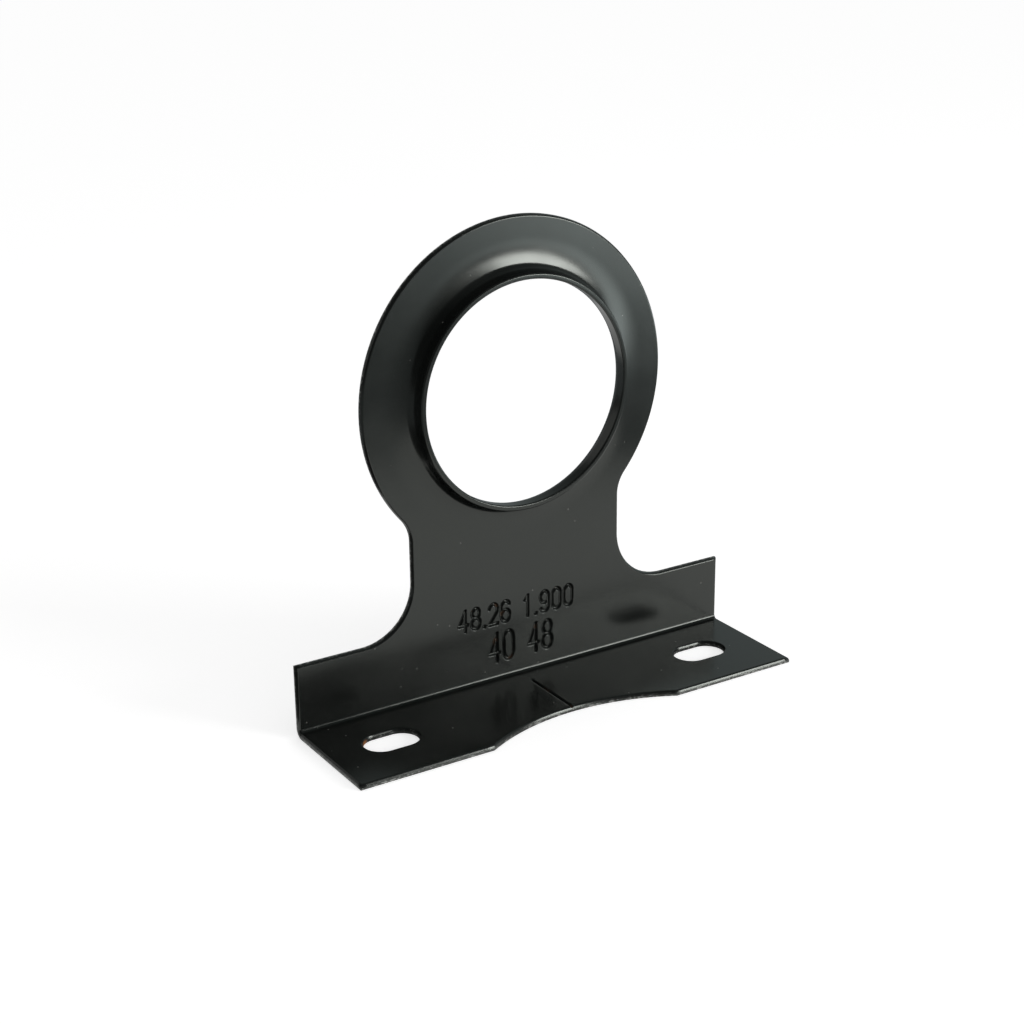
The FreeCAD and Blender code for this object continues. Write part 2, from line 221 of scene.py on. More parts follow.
def slot_outline(side):
    """Outline of one fixing slot, clockwise, on the flat blank."""
    half_run = SLOT_LENGTH / 2 - SLOT_RADIUS
    height = flat_height(0)
    low, high = height - SLOT_RADIUS, height + SLOT_RADIUS
    left = (side * SLOT_MIDDLE - half_run, height)
    right = (side * SLOT_MIDDLE + half_run, height)
    points = joined(
        arc(left, SLOT_RADIUS, 270, 90, step=4),
        run((left[0], high), (right[0], high), step=0.5),
        arc(right, SLOT_RADIUS, 90, -90, step=4),
        run((right[0], low), (left[0], low), step=0.5),
    )
    return points[:-1]


def inset(points, distance):
    """A closed outline moved into the sheet, square corners kept."""
    ahead = np.roll(points, -1, 0) - points
    ahead /= np.linalg.norm(ahead, axis=1)[:, None]
    behind = np.roll(ahead, 1, 0)
    normal_ahead = np.column_stack([-ahead[:, 1], ahead[:, 0]])
    normal_behind = np.column_stack([-behind[:, 1], behind[:, 0]])
    spread = 1 + (normal_ahead * normal_behind).sum(1)[:, None]
    return points + distance * (normal_ahead + normal_behind) / spread


def edge_section(roll, draft, rough):
    """Sheared edge from face to face, as distance in from the outline, depth and breakage.

    The punched side rolls over, a smooth land with some draft follows, and the rest has broken.
    """
    steep = math.radians(ROLL_END)
    turns = np.linspace(0, steep, ROLL_ROWS)
    rolled = [(draft + roll * (1 - math.sin(t)), roll * (1 - math.cos(t)), 0.0) for t in turns]
    start, top, _ = rolled[-1]
    land = top + start * math.tan(steep)
    smooth = [(start * share, land + (top - land) * share, LAND_ROUGHNESS * rough)
              for share in LAND_SHARES]
    broken = [(0.0, land, BREAK_START_ROUGHNESS * rough), (0.015, land + BREAK_CORNER, rough),
              (0.02, 1.0, rough), (0.03, THICKNESS - BREAK_CORNER, rough), (0.09, THICKNESS, 0.0)]
    return rolled + smooth + broken


class Blank:
    """Points and faces of the flat blank, with how broken the surface is at each point."""

    def __init__(self):
        self.places = []
        self.broken = []
        self.faces = []

    def add(self, points, depth, broken=0.0):
        """Points at one depth; returns their numbers."""
        first = len(self.places)
        self.places.extend((x, height, depth) for x, height in points)
        self.broken.extend([broken] * len(points))
        return np.arange(first, len(self.places))

    def flat(self, ring):
        """A ring of points as it lies in the plane of the blank."""
        return np.array([self.places[index][:2] for index in ring])

    def bridge(self, ring, other):
        """Squares between two closed rings of points."""
        ahead, other_ahead = np.roll(ring, -1), np.roll(other, -1)
        self.faces.extend(np.column_stack([ring, ahead, other_ahead, other]).tolist())

    def fill(self, outer, holes, rows):
        """Triangles inside the outer ring, outside the holes, with the rows among their edges."""
        used = np.unique(np.concatenate([outer, *holes]))
        number = {int(index): place for place, index in enumerate(used)}
        flat = self.flat(used)
        edges = [(number[int(a)], number[int(b)])
                 for ring in (outer, *holes) for a, b in zip(ring, np.roll(ring, -1))]
        edges += [(number[int(a)], number[int(b)]) for a, b in rows]
        points, _, found, origins, _, _ = delaunay_2d_cdt(
            [Vector(p) for p in flat.tolist()], edges, [], 0, 1e-7, True)
        if len(points) != len(flat):
            raise RuntimeError("the blank's rings cross each other")
        found = np.array(found)
        middles = np.array([tuple(p) for p in points])[found].mean(1)
        inside = within(middles, self.flat(outer))
        for hole in holes:
            inside &= ~within(middles, self.flat(hole))
        back = used[np.array([origin[0] for origin in origins])]
        self.faces.extend(back[found[inside]].tolist())


def within(points, ring):
    """Which points lie inside a closed ring."""
    inside = np.zeros(len(points), bool)
    for (ax, ay), (bx, by) in zip(ring, np.roll(ring, -1, 0)):
        if ay == by:
            continue
        level = (points[:, 1] > min(ay, by)) & (points[:, 1] <= max(ay, by))
        crossing = ax + (points[:, 1] - ay) * (bx - ax) / (by - ay)
        inside ^= level & (points[:, 0] < crossing)
    return inside


def fine_patch(blank, low, high, pitch):
    """A fine grid on the punched face, where marks are pressed; returns its border ring."""
    across = np.linspace(low[0], high[0], math.ceil((high[0] - low[0]) / pitch) + 1)
    up = np.linspace(low[1], high[1], math.ceil((high[1] - low[1]) / pitch) + 1)
    grid_x, grid_y = np.meshgrid(across, up)
    index = blank.add(np.column_stack([grid_x.ravel(), grid_y.ravel()]), 0.0).reshape(grid_x.shape)
    squares = np.stack([index[:-1, :-1], index[:-1, 1:], index[1:, 1:], index[1:, :-1]], -1)
    blank.faces.extend(squares.reshape(-1, 4).tolist())
    return np.concatenate([index[0, :-1], index[:-1, -1], index[-1, :0:-1], index[:0:-1, 0]])


def collar_section():
    """Radius and depth along the drawn collar, from the dish's front edge round to its rear."""
    wall = BORE_RADIUS + THICKNESS
    steepest = math.radians(DISH_SLOPE)
    radius = np.linspace(DISH_RIM, wall + COLLAR_FILLET * (1 - math.sin(steepest)), DISH_ROWS)
    slope = steepest * ((DISH_RIM - radius) / (DISH_RIM - radius[-1])) ** DISH_EASE
    steep = np.tan(slope)
    drop = np.concatenate([[0], np.cumsum((steep[1:] + steep[:-1]) / 2 * np.diff(radius))])
    dish = np.column_stack([radius, drop])
    rear_dish = dish + THICKNESS * np.column_stack([-np.sin(slope), np.cos(slope)])
    turn = (wall + COLLAR_FILLET, drop[-1] - COLLAR_FILLET * math.cos(steepest))
    rim = -COLLAR_REACH
    rounding = rim + RIM_ROUND
    return joined(
        dish,
        arc(turn, COLLAR_FILLET, 90 + DISH_SLOPE, 180, step=5),
        run((wall, turn[1]), (wall, rounding), step=0.5),
        arc((wall - RIM_ROUND, rounding), RIM_ROUND, 0, -90, step=11),
        run((wall - RIM_ROUND, rim), (BORE_RADIUS + RIM_ROUND, rim), step=0.3),
        arc((BORE_RADIUS + RIM_ROUND, rounding), RIM_ROUND, -90, -180, step=11),
        run((BORE_RADIUS, rounding), (BORE_RADIUS, turn[1]), step=0.5),
        arc(turn, COLLAR_FILLET + THICKNESS, 180, 90 + DISH_SLOPE, step=4),
        rear_dish[::-1],
    )


def add_collar(blank):
    """The drawn collar, turned about the pipe's axis; returns its front and rear border rings."""
    turns = np.radians(np.arange(COLLAR_STEPS) * 360 / COLLAR_STEPS)
    circle = np.column_stack([np.cos(turns), np.sin(turns)])
    rings = [blank.add(circle * radius + (0, AXIS_HEIGHT), depth)
             for radius, depth in collar_section()]
    for ring, other in zip(rings, rings[1:]):
        blank.bridge(ring, other)
    return rings[0], rings[-1]


def add_edge(blank, outline, section):
    """The sheared edge round one outline; returns its rings on the punched and the rear face."""
    rings = [blank.add(inset(outline, distance), depth, broken)
             for distance, depth, broken in section]
    for ring, other in zip(rings, rings[1:]):
        blank.bridge(ring, other)
    return rings[0], rings[-1]


def fold_rows(blank, ring):
    """Pairs of points across the blank, one pair for each row of the fold."""
    flat = blank.flat(ring)
    pairs = []
    for height in fold_heights():
        level = np.flatnonzero(np.abs(flat[:, 1] - height) < 1e-6)
        left, right = level[np.argmin(flat[level, 0])], level[np.argmax(flat[level, 0])]
        pairs.append((ring[left], ring[right]))
    return pairs


def lay_out_blank():
    """The flat blank as a mesh, punched face up, in metres."""
    blank = Blank()
    outer_front, outer_rear = add_edge(blank, blank_outline(), edge_section(*OUTER_SHEAR))
    slots = [add_edge(blank, slot_outline(side), edge_section(*SLOT_SHEAR)) for side in (-1, 1)]
    slot_fronts, slot_rears = zip(*slots)
    collar_front, collar_rear = add_collar(blank)
    patches = [fine_patch(blank, *patch) for patch in MARKED_PATCHES]
    blank.fill(outer_front, [*slot_fronts, collar_front, *patches], fold_rows(blank, outer_front))
    blank.fill(outer_rear, [*slot_rears, collar_rear], fold_rows(blank, outer_rear))
    places, broken = np.array(blank.places), np.array(blank.broken)
    apart = np.linalg.norm(places[:, :2] - RUSTED_SPOT, axis=1)
    damp = np.clip(RUST_STRENGTH - apart / RUST_FADE, 0, 1) * np.minimum(1, RUST_ONSET * broken)
    mesh = bpy.data.meshes.new("flat_blank")
    mesh.from_pydata((places * (MM, MM, -MM)).tolist(), [], blank.faces)
    for name, values in (("broken", broken), ("damp", damp)):
        mesh.attributes.new(name, "FLOAT", "POINT").data.foreach_set("value", values)
    return mesh


# The marks that are pressed into the blank.

def bow(x, y, across, up, start, end):
    """Part of an oval, as points in a numeral's unit box."""
    turns = np.radians(np.linspace(start, end, max(3, int(abs(end - start) / 15) + 1)))
    return [(x + across * math.cos(t), y + up * math.sin(t)) for t in turns]


def half_turned(strokes):
    """A numeral's strokes turned by half a turn in the unit box."""
    return [[(1 - x, 1 - y) for x, y in stroke] for stroke in strokes]


SIX = [bow(0.5, 0.74, 0.5, 0.26, 25, 180) + bow(0.5, 0.29, 0.5, 0.29, 180, 540)]
NUMERALS = {
    "0": [bow(0.5, 0.72, 0.5, 0.28, 0, 180) + bow(0.5, 0.28, 0.5, 0.28, 180, 360) + [(1, 0.72)]],
    "1": [[(0.18, 0.8), (0.55, 1), (0.55, 0)]],
    "2": [bow(0.5, 0.73, 0.5, 0.27, 165, -30) + [(0, 0), (1, 0)]],
    "4": [[(0.74, 0), (0.74, 1), (0, 0.3), (1, 0.3)]],
    "6": SIX,
    "8": [bow(0.5, 0.76, 0.43, 0.24, -90, 270), bow(0.5, 0.27, 0.5, 0.26, 90, 450)],
    "9": half_turned(SIX),
    ".": [[(0, 0), (0.1, 0)]],
}


def numeral_strokes():
    """Lines that the stamps follow, on the flat blank."""
    strokes = []
    for row in NUMERAL_ROWS:
        x = row["left"]
        for letter in row["text"]:
            for stroke in NUMERALS.get(letter, []):
                strokes.append([(x + px * row["width"], row["base"] + py * row["height"])
                                for px, py in stroke])
            x += row["advance"] * NARROW_ADVANCES.get(letter, 1)
    return strokes


def stroke_lines(name, strokes):
    """The strokes as a mesh of bare edges in the plane of the flat blank."""
    points, edges = [], []
    for stroke in strokes:
        first = len(points)
        points += [(x * MM, y * MM, 0) for x, y in stroke]
        edges += [(i, i + 1) for i in range(first, len(points) - 1)]
    mesh = bpy.data.meshes.new(name)
    mesh.from_pydata(points, edges, [])
    lines = bpy.data.objects.new(name, mesh)
    bpy.context.scene.collection.objects.link(lines)
    return lines


# Node trees.

def add_nodes(tree, kinds):
    """New nodes by name, from the names that are wanted of each kind."""
    return {name: tree.nodes.new(kind) for kind, names in kinds.items() for name in names.split()}


def set_operations(nodes, operations):
    """What each maths node does, from the names of the nodes that do it."""
    for operation, names in operations.items():
        for name in names.split():
            nodes[name].operation = operation


def set_values(nodes, values):
    """Plain values on the sockets of the named nodes."""
    for name, sockets in values.items():
        for socket, value in sockets.items():
            nodes[name].inputs[socket].default_value = value


def set_ranges(nodes, ranges):
    """The two ends that each range node maps from, and the two that it maps to."""
    ends = ("From Min", "From Max", "To Min", "To Max")
    set_values(nodes, {name: dict(zip(ends, values)) for name, values in ranges.items()})


def wire(tree, *links):
    """Links between sockets, each from an output to an input."""
    for start, end in links:
        tree.links.new(start, end)


def new_geometry_tree(name, inputs):
    """A tree with a mesh in, a mesh out and the named inputs."""
    tree = bpy.data.node_groups.new(name, "GeometryNodeTree")
    tree.interface.new_socket("Mesh", in_out="INPUT", socket_type="NodeSocketGeometry")
    for label, kind in inputs.items():
        tree.interface.new_socket(label, in_out="INPUT", socket_type=kind)
    tree.interface.new_socket("Mesh", in_out="OUTPUT", socket_type="NodeSocketGeometry")
    return tree


def add_tree(piece, tree, values):
    """The tree as a modifier of the piece, each value set by its socket's identifier."""
    modifier = piece.modifiers.new(tree.name, "NODES")
    modifier.node_group = tree
    for item in tree.interface.items_tree:
        if item.item_type == "SOCKET" and item.in_out == "INPUT" and item.name in values:
            modifier[item.identifier] = values[item.name]


def pressing_tree(finish):
    """Presses a rounded groove into the punched face along the lines of another object.

    How deep each point was pressed, from 0 to 1, is kept in the attribute "pressed".
    """
    tree = new_geometry_tree("press_grooves", {
        "Lines": "NodeSocketObject", "Half Width": "NodeSocketFloat", "Depth": "NodeSocketFloat"})
    nodes = add_nodes(tree, {
        "NodeGroupInput": "enter",
        "GeometryNodeObjectInfo": "lines",
        "GeometryNodeProximity": "near",
        "GeometryNodeInputPosition": "where",
        "GeometryNodeInputNamedAttribute": "before",
        "ShaderNodeSeparateXYZ": "split",
        "ShaderNodeMapRange": "profile",
        "FunctionNodeCompare": "punched",
        "ShaderNodeMath": "share down most",
        "ShaderNodeCombineXYZ": "offset",
        "GeometryNodeStoreNamedAttribute": "remember",
        "GeometryNodeSetPosition": "press",
        "GeometryNodeRealizeInstances": "realize",
        "GeometryNodeSetMaterial": "finish",
        "NodeGroupOutput": "leave",
    })
    nodes["near"].target_element = "EDGES"
    nodes["profile"].interpolation_type = "SMOOTHSTEP"
    set_operations(nodes, {"GREATER_THAN": "punched", "MULTIPLY": "share down", "MAXIMUM": "most"})
    set_values(nodes, {
        "profile": {"To Min": 1, "To Max": 0},
        "punched": {"B": -THICKNESS * MM / 2},
        "before": {"Name": "pressed"},
        "remember": {"Name": "pressed"},
        "finish": {"Material": finish},
    })
    enter = nodes["enter"].outputs
    wire(tree,
         (enter["Lines"], nodes["lines"].inputs["Object"]),
         (nodes["lines"].outputs["Geometry"], nodes["near"].inputs[0]),
         (nodes["near"].outputs["Distance"], nodes["profile"].inputs["Value"]),
         (enter["Half Width"], nodes["profile"].inputs["From Max"]),
         (nodes["where"].outputs[0], nodes["split"].inputs[0]),
         (nodes["split"].outputs["Z"], nodes["punched"].inputs["A"]),
         (nodes["punched"].outputs[0], nodes["share"].inputs[0]),
         (nodes["profile"].outputs[0], nodes["share"].inputs[1]),
         (nodes["share"].outputs[0], nodes["down"].inputs[0]),
         (enter["Depth"], nodes["down"].inputs[1]),
         (nodes["down"].outputs[0], nodes["offset"].inputs["Z"]),
         (enter["Mesh"], nodes["remember"].inputs["Geometry"]),
         (nodes["before"].outputs["Attribute"], nodes["most"].inputs[0]),
         (nodes["share"].outputs[0], nodes["most"].inputs[1]),
         (nodes["most"].outputs[0], nodes["remember"].inputs["Value"]),
         (nodes["remember"].outputs["Geometry"], nodes["press"].inputs["Geometry"]),
         (nodes["offset"].outputs[0], nodes["press"].inputs["Offset"]),
         (nodes["press"].outputs[0], nodes["realize"].inputs[0]),
         (nodes["realize"].outputs[0], nodes["finish"].inputs["Geometry"]),
         (nodes["finish"].outputs[0], nodes["leave"].inputs[0]))
    return tree


# The stay.

def plain_mesh(piece, name):
    """The evaluated piece as a mesh of its own, its modifiers gone."""
    graph = bpy.context.evaluated_depsgraph_get()
    mesh = bpy.data.meshes.new_from_object(piece.evaluated_get(graph))
    mesh.name = name
    piece.modifiers.clear()
    return mesh


def vertex_places(mesh):
    """The mesh's points as rows of x, y and z."""
    places = np.empty(len(mesh.vertices) * 3)
    mesh.vertices.foreach_get("co", places)
    return places.reshape(-1, 3)


def face_outwards(mesh):
    """Merges what touches and turns every face outwards."""
    work = bmesh.new()
    work.from_mesh(mesh)
    bmesh.ops.remove_doubles(work, verts=work.verts, dist=1e-7)
    bmesh.ops.recalc_face_normals(work, faces=work.faces)
    open_edges = sum(not edge.is_manifold for edge in work.edges)
    if open_edges:
        raise RuntimeError(f"the stay has {open_edges} open edges")
    work.to_mesh(mesh)
    work.free()


def smooth_by_area(mesh):
    """Smooth shading that large flat faces keep flat."""
    places = vertex_places(mesh)
    mesh.calc_loop_triangles()
    corners = np.empty(len(mesh.loop_triangles) * 3, int)
    mesh.loop_triangles.foreach_get("vertices", corners)
    corners = corners.reshape(-1, 3).T
    a, b, c = places[corners]
    weighted = np.cross(b - a, c - a)
    normals = np.zeros_like(places)
    for corner in corners:
        np.add.at(normals, corner, weighted)
    normals /= np.linalg.norm(normals, axis=1)[:, None]
    mesh.polygons.foreach_set("use_smooth", [True] * len(mesh.polygons))
    mesh.normals_split_custom_set_from_vertices(normals.tolist())


def make_stay(finish):
    """The whole stay as one closed mesh in its place."""
    flat = bpy.data.objects.new("flat_blank", lay_out_blank())
    bpy.context.scene.collection.objects.link(flat)
    numerals = stroke_lines("numeral_strokes", numeral_strokes())
    mark = stroke_lines("centre_mark_stroke", [CENTRE_MARK])
    press = pressing_tree(finish)
    add_tree(flat, press, {"Lines": numerals, **NUMERAL_GROOVE})
    add_tree(flat, press, {"Lines": mark, **CENTRE_GROOVE})
    mesh = plain_mesh(flat, "enamelled_stay")
    for leftover in (flat, numerals, mark):
        bpy.data.objects.remove(leftover)
    blank_places = vertex_places(mesh) / (MM, MM, -MM)
    mesh.vertices.foreach_set("co", (folded(blank_places) * MM).ravel())
    mesh.update()
    face_outwards(mesh)
    smooth_by_area(mesh)
    stay = bpy.data.objects.new("enamelled_stay", mesh)
    bpy.context.scene.collection.objects.link(stay)
    return stay


def new_material(name, kinds):
    """A material with the nodes wanted of each kind, beside its own surface and output."""
    material = bpy.data.materials.new(name)
    material.use_nodes = True
    tree = material.node_tree
    nodes = add_nodes(tree, kinds)
    nodes["surface"] = tree.nodes["Principled BSDF"]
    nodes["out"] = tree.nodes["Material Output"]
    return material, tree, nodes


def black_enamel():
    """Dipped black enamel with a little orange peel and dust, bare and rusting where it broke;
    the light speckles of bare steel on the broken edges are also painted glints.

    The attributes are "broken" on sheared edges, "pressed" in the marks and "damp" at the rust.
    """
    material, tree, nodes = new_material("black_enamel", {
        "ShaderNodeTexCoord": "place",
        "ShaderNodeAttribute": "broken pressed damp",
        "ShaderNodeTexNoise": "cloud peel grit patches chips",
        "ShaderNodeTexVoronoi": "dust",
        "ShaderNodeMapRange": "tone gloss patch_edge dust_edge glints",
        "ShaderNodeMath": "sheltered rust_share bare_share rougher duller break_height",
        "ShaderNodeMix": "colour baring rusting dusting",
        "ShaderNodeBump": "peel_bump break_bump",
    })
    for name in ("broken", "pressed", "damp"):
        nodes[name].attribute_name = name
    for name in ("colour", "baring", "rusting", "dusting"):
        nodes[name].data_type = "RGBA"
    set_operations(nodes, {"MULTIPLY": "sheltered bare_share break_height",
                           "MULTIPLY_ADD": "rust_share rougher duller"})
    set_ranges(nodes, {
        "tone": (0.35, 0.65, 0, 1),
        "gloss": (0.3, 0.7, 0.18, 0.24),
        "patch_edge": (0.6, 0.67, 0, 1),
        "dust_edge": (0.02, 0.06, 1, 0),
        "glints": (0.52, 0.62, 0.14, 1),
    })
    set_values(nodes, {
        "cloud": {"Scale": 90, "Detail": 4},
        "peel": {"Scale": 900, "Detail": 2},
        "grit": {"Scale": 5200, "Detail": 3},
        "patches": {"Scale": 420, "Detail": 3},
        "chips": {"Scale": 1500, "Detail": 2},
        "dust": {"Scale": 250},
        "colour": {"A": (0.006, 0.0069, 0.0064, 1), "B": (0.0084, 0.0094, 0.0087, 1)},
        # Light grey of bare steel on the broken edges, also used for the painted glints.
        "baring": {"B": (0.3, 0.305, 0.29, 1)},
        "rusting": {"B": (0.3, 0.12, 0.035, 1)},
        "dusting": {"B": (0.12, 0.12, 0.11, 1)},
        "rust_share": {1: 0.16},
        "rougher": {1: 0.26},
        "duller": {1: 0.2},
        "peel_bump": {"Strength": 0.25, "Distance": 0.00001},
        "break_bump": {"Strength": 0.8, "Distance": 0.00012},
        "surface": {"IOR": 1.52, "Specular Tint": (0.95, 1.0, 0.93, 1)},
    })
    place = nodes["place"].outputs["Object"]
    textures = ("cloud", "peel", "grit", "patches", "chips", "dust")
    surface = nodes["surface"].inputs
    wire(tree,
         *((place, nodes[name].inputs["Vector"]) for name in textures),
         (nodes["cloud"].outputs[0], nodes["tone"].inputs["Value"]),
         (nodes["tone"].outputs[0], nodes["colour"].inputs["Factor"]),
         (nodes["pressed"].outputs["Fac"], nodes["sheltered"].inputs[0]),
         (nodes["patches"].outputs[0], nodes["patch_edge"].inputs["Value"]),
         (nodes["patch_edge"].outputs[0], nodes["sheltered"].inputs[1]),
         (nodes["sheltered"].outputs[0], nodes["rust_share"].inputs[0]),
         (nodes["damp"].outputs["Fac"], nodes["rust_share"].inputs[2]),
         (nodes["rust_share"].outputs[0], nodes["rusting"].inputs["Factor"]),
         # Painted glints: on the broken edges the noise lays light speckles of bare steel that also
         # stand in for glints.
         (nodes["chips"].outputs[0], nodes["glints"].inputs["Value"]),
         (nodes["glints"].outputs[0], nodes["bare_share"].inputs[0]),
         (nodes["broken"].outputs["Fac"], nodes["bare_share"].inputs[1]),
         (nodes["bare_share"].outputs[0], nodes["baring"].inputs["Factor"]),
         (nodes["colour"].outputs["Result"], nodes["baring"].inputs["A"]),
         (nodes["baring"].outputs["Result"], nodes["rusting"].inputs["A"]),
         (nodes["dust"].outputs["Distance"], nodes["dust_edge"].inputs["Value"]),
         (nodes["dust_edge"].outputs[0], nodes["dusting"].inputs["Factor"]),
         (nodes["rusting"].outputs["Result"], nodes["dusting"].inputs["A"]),
         (nodes["dusting"].outputs["Result"], surface["Base Color"]),
         (nodes["cloud"].outputs[0], nodes["gloss"].inputs["Value"]),
         (nodes["broken"].outputs["Fac"], nodes["rougher"].inputs[0]),
         (nodes["gloss"].outputs[0], nodes["rougher"].inputs[2]),
         (nodes["rust_share"].outputs[0], nodes["duller"].inputs[0]),
         (nodes["rougher"].outputs[0], nodes["duller"].inputs[2]),
         (nodes["duller"].outputs[0], surface["Roughness"]),
         (nodes["peel"].outputs[0], nodes["peel_bump"].inputs["Height"]),
         (nodes["broken"].outputs["Fac"], nodes["break_height"].inputs[0]),
         (nodes["grit"].outputs[0], nodes["break_height"].inputs[1]),
         (nodes["break_height"].outputs[0], nodes["break_bump"].inputs["Height"]),
         (nodes["peel_bump"].outputs[0], nodes["break_bump"].inputs["Normal"]),
         (nodes["break_bump"].outputs[0], surface["Normal"]))
    return material


# The studio: a white floor and background, one soft box, and sheets that only the gloss sees,
# which glow or stay dark as painted reflections and painted shade in the enamel.
# The floor is lifted by a glow of its own, and the background lights less than it shows.

FLOOR_HALF = 6.0
FLOOR_LIFT = 0.55
LIGHTING_LEVEL = 0.5
LAMP_AIM = Vector((0, 0.005, 0.05))


def add_seen_share(tree):
    """Nodes that give 1 where a ray looks, mirrors or passes through, and 0 where it lights."""
    nodes = add_nodes(tree, {"ShaderNodeLightPath": "ray", "ShaderNodeMath": "mirrored seen"})
    set_operations(nodes, {"MAXIMUM": "mirrored seen"})
    ray = nodes["ray"].outputs
    wire(tree,
         (ray["Is Glossy Ray"], nodes["mirrored"].inputs[0]),
         (ray["Is Transmission Ray"], nodes["mirrored"].inputs[1]),
         (ray["Is Camera Ray"], nodes["seen"].inputs[0]),
         (nodes["mirrored"].outputs[0], nodes["seen"].inputs[1]))
    return nodes["seen"].outputs[0]


def white_floor_material():
    """White card, lifted to the white of the background where it is looked at or mirrored."""
    material, tree, nodes = new_material("white_card", {
        "ShaderNodeMath": "strength", "ShaderNodeEmission": "lift", "ShaderNodeAddShader": "add"})
    set_operations(nodes, {"MULTIPLY": "strength"})
    set_values(nodes, {
        "surface": {"Base Color": (0.85, 0.85, 0.85, 1), "Roughness": 0.9,
                    "Specular IOR Level": 0.0},
        "strength": {1: FLOOR_LIFT},
    })
    wire(tree,
         (add_seen_share(tree), nodes["strength"].inputs[0]),
         (nodes["strength"].outputs[0], nodes["lift"].inputs["Strength"]),
         (nodes["surface"].outputs[0], nodes["add"].inputs[0]),
         (nodes["lift"].outputs[0], nodes["add"].inputs[1]),
         (nodes["add"].outputs[0], nodes["out"].inputs["Surface"]))
    return material


def make_floor():
    """A wide white floor under the stay."""
    half = FLOOR_HALF
    mesh = bpy.data.meshes.new("studio_floor")
    mesh.from_pydata([(-half, -half, 0), (half, -half, 0), (half, half, 0), (-half, half, 0)], [],
                     [(0, 1, 2, 3)])
    mesh.materials.append(white_floor_material())
    floor = bpy.data.objects.new("studio_floor", mesh)
    bpy.context.scene.collection.objects.link(floor)


def light_world():
    """White where it is looked at or mirrored, a soft grey where it lights."""
    world = bpy.data.worlds.new("studio")
    bpy.context.scene.world = world
    world.use_nodes = True
    tree = world.node_tree
    nodes = add_nodes(tree, {"ShaderNodeMapRange": "level"})
    set_values(nodes, {"level": {"To Min": LIGHTING_LEVEL, "To Max": 1.0}})
    back = tree.nodes["Background"].inputs
    back["Color"].default_value = (1, 1, 1, 1)
    wire(tree,
         (add_seen_share(tree), nodes["level"].inputs["Value"]),
         (nodes["level"].outputs[0], back["Strength"]))


def from_angles(azimuth, elevation, distance):
    """A place round the origin, from its angles in degrees."""
    azimuth, elevation = math.radians(azimuth), math.radians(elevation)
    return distance * Vector((math.cos(elevation) * math.cos(azimuth),
                              math.cos(elevation) * math.sin(azimuth),
                              math.sin(elevation)))


def add_lamp(name, angles, distance, across, up, watts):
    """A white soft box in a direction from the stay, given as azimuth and elevation."""
    lamp = bpy.data.lights.new(name, "AREA")
    lamp.shape = "RECTANGLE"
    lamp.size = across
    lamp.size_y = up
    lamp.energy = watts
    holder = bpy.data.objects.new(name, lamp)
    bpy.context.scene.collection.objects.link(holder)
    place = LAMP_AIM + from_angles(*angles, distance)
    turn = (place - LAMP_AIM).to_track_quat("Z", "Y").to_matrix().to_4x4()
    holder.matrix_world = Matrix.Translation(place) @ turn


def glow_material(name, dark, bright, colour, middle, reach, core=0.0):
    """A painted reflection: a sheet that glows, most round one place and fading from the core to
    the reach.
    """
    material, tree, nodes = new_material(name, {
        "ShaderNodeTexCoord": "place", "ShaderNodeVectorMath": "apart",
        "ShaderNodeMapRange": "fade level", "ShaderNodeMath": "square",
        "ShaderNodeEmission": "glow",
    })
    set_operations(nodes, {"DISTANCE": "apart", "POWER": "square"})
    set_ranges(nodes, {"fade": (core, reach, 1, 0), "level": (0, 1, dark, bright)})
    set_values(nodes, {"apart": {1: middle}, "square": {1: 2}, "glow": {"Color": (*colour, 1)}})
    wire(tree,
         (nodes["place"].outputs["Object"], nodes["apart"].inputs[0]),
         (nodes["apart"].outputs["Value"], nodes["fade"].inputs["Value"]),
         (nodes["fade"].outputs[0], nodes["square"].inputs[0]),
         (nodes["square"].outputs[0], nodes["level"].inputs["Value"]),
         (nodes["level"].outputs[0], nodes["glow"].inputs["Strength"]),
         (nodes["glow"].outputs[0], nodes["out"].inputs["Surface"]))
    return material


def even_glow(name, level):
    """A painted reflection, or painted shade where it is dark, that glows the same all over."""
    return glow_material(name, level, level, (1, 1, 1), (0, 0, 0), 1.0)


def add_surround(name, rings, material):
    """Rings of points round the stay skinned to a sheet that only the gloss of the enamel sees, as
    a painted reflection.
    """
    count = len(rings[0])
    points = [point for ring in rings for point in ring]
    faces = [(j * count + i, j * count + (i + 1) % count, (j + 1) * count + (i + 1) % count,
              (j + 1) * count + i) for j in range(len(rings) - 1) for i in range(count)]
    mesh = bpy.data.meshes.new(name)
    mesh.from_pydata(points, [], faces)
    mesh.materials.append(material)
    sheet = bpy.data.objects.new(name, mesh)
    bpy.context.scene.collection.objects.link(sheet)
    sheet.visible_camera = sheet.visible_diffuse = sheet.visible_shadow = False


def add_flat_reflection_sheet(name, boxes, height, material):
    """A flat sheet seen only in the gloss, between an outer and a tiny inner box, each given by two
    corners, in mm.
    """
    rings = []
    for (left, front), (right, rear) in boxes:
        corners = ((left, front), (right, front), (right, rear), (left, rear))
        rings.append([(x * MM, y * MM, height * MM) for x, y in corners])
    add_surround(name, rings, material)


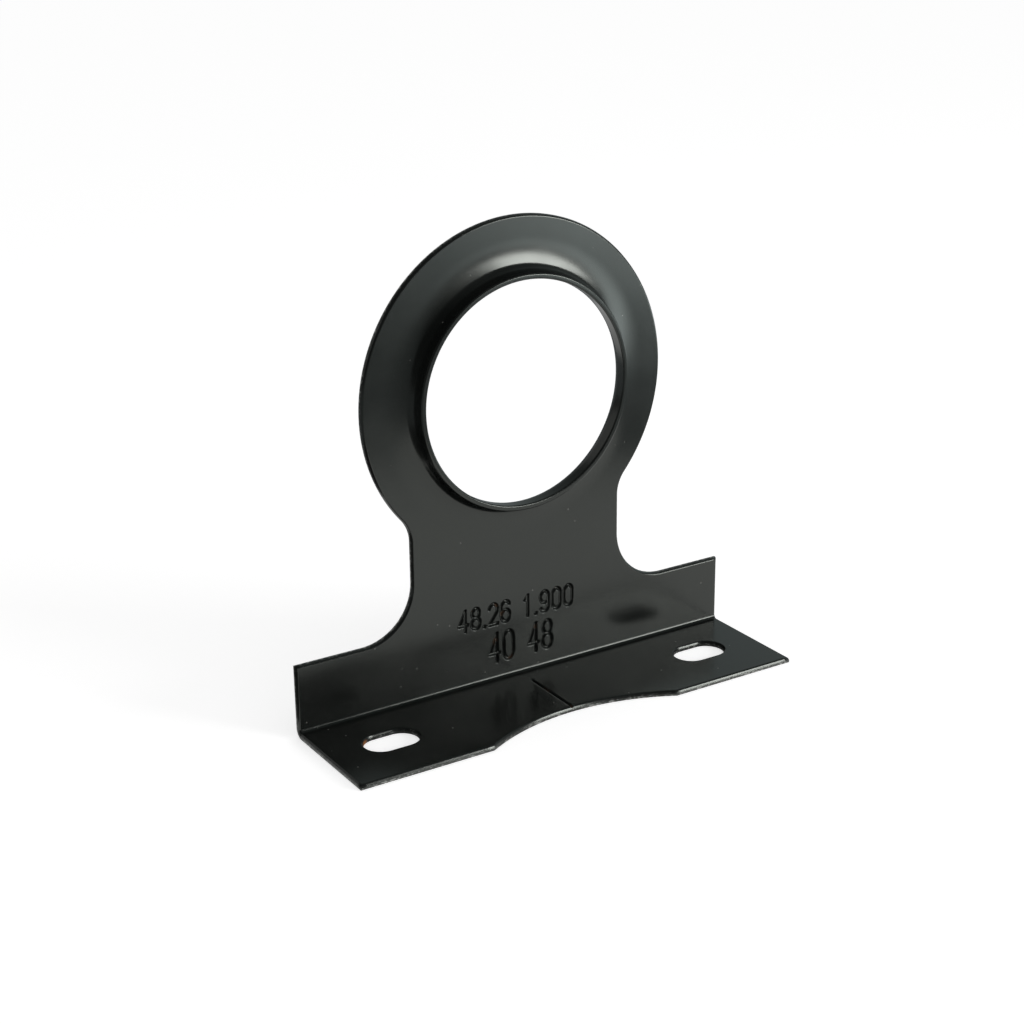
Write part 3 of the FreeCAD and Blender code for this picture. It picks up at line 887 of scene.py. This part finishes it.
def add_painted_reflections():
    """Painted reflections: a grey glowing hood round and over the stay, a table that glows brighter
    towards the lamp, a glowing card behind, and dark sheets that paint shade into the reflections.
    """
    turns = range(0, 360, 5)
    hood = [[from_angles(turn, up, 1.5)[:] for turn in turns] for up in range(0, 91, 5)]
    # Painted reflection: a hood that glows grey, brighter round one side, seen only in the gloss.
    add_surround("tent", hood,
                 glow_material("painted_hood_glow", 0.02, 0.66, (0.88, 1.0, 1.0), (1.5, 0.6, 0.4), 2.9))
    # Painted reflection of a lit table: it glows up to 3.8 times white towards the lamp, seen only
    # in the gloss.
    table = [[(*from_angles(turn, 0, radius)[:2], 0.0001) for turn in turns]
             for radius in (0.14, 1.5)]
    add_surround("table_cloth", table,
                 glow_material("painted_lit_table_glow", 0.25, 3.8, (0.92, 1.0, 1.03), (0.573, -0.333, 0),
                               0.457, core=0.301))
    # Painted reflection of a pale card behind and to the left, seen only in the gloss.
    card = [[from_angles(turn, up, 1.2)[:] for turn in range(90, 171, 20)] for up in (8, 32)]
    add_surround("rear_card", card, even_glow("rear_card", 0.4))
    # Painted shade in the reflections: a dark sheet on the table at the left front, seen only in
    # the gloss.
    add_flat_reflection_sheet("dark_mat", (((-450, -450), (-62, 60)), ((-120, -1), (-119, 1))), 0.08,
            even_glow("dark_mat", 0.03))
    # Painted shade: a dark sheet under the flange, seen only in the gloss, so the slots mirror dark
    # as if shaded.
    add_flat_reflection_sheet("shade", (((-54, -13.5), (54, 13.5)), ((-1, -0.1), (1, 0.1))), 0.05,
            even_glow("shade_under_flange", 0.05))


# The photograph's camera, fitted to the stay's outline.
CAMERA_AZIMUTH = 31.927
CAMERA_ELEVATION = 20.674
CAMERA_ROLL = -0.713
CAMERA_TARGET = Vector((-1.539, 13.15, 39.788)) * MM
CAMERA_DISTANCE = 0.437669
FOCAL_PIXELS = 2018.756
PHOTO_PIXELS = 1024
SENSOR_WIDTH = 36


def set_camera():
    """Camera at the photograph's place: 32 degrees to the left, 21 degrees up."""
    azimuth, elevation, roll = (
        math.radians(angle) for angle in (CAMERA_AZIMUTH, CAMERA_ELEVATION, CAMERA_ROLL))
    back = Vector((-math.sin(azimuth) * math.cos(elevation),
                   -math.cos(azimuth) * math.cos(elevation), math.sin(elevation)))
    right = (-back).cross(Vector((0, 0, 1))).normalized()
    up = right.cross(-back)
    across = right * math.cos(roll) + up * math.sin(roll)
    upright = up * math.cos(roll) - right * math.sin(roll)
    lens = bpy.data.cameras.new("photo_camera")
    lens.sensor_width = SENSOR_WIDTH
    lens.lens = FOCAL_PIXELS / PHOTO_PIXELS * SENSOR_WIDTH
    lens.clip_start = 0.01
    camera = bpy.data.objects.new("photo_camera", lens)
    bpy.context.scene.collection.objects.link(camera)
    camera.matrix_world = Matrix.Translation(CAMERA_TARGET + back * CAMERA_DISTANCE) @ Matrix(
        (across, upright, back)).transposed().to_4x4()
    bpy.context.scene.camera = camera


enamel = black_enamel()
stay = make_stay(enamel)
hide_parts("pipe_stay")
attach(stay, "root")

make_floor()
light_world()
add_lamp("key_box", angles=(-52.3, 10.7), distance=0.7, across=0.28, up=0.2, watts=2.4)
add_painted_reflections()
set_camera()
bpy.context.scene.view_settings.view_transform = "Standard"
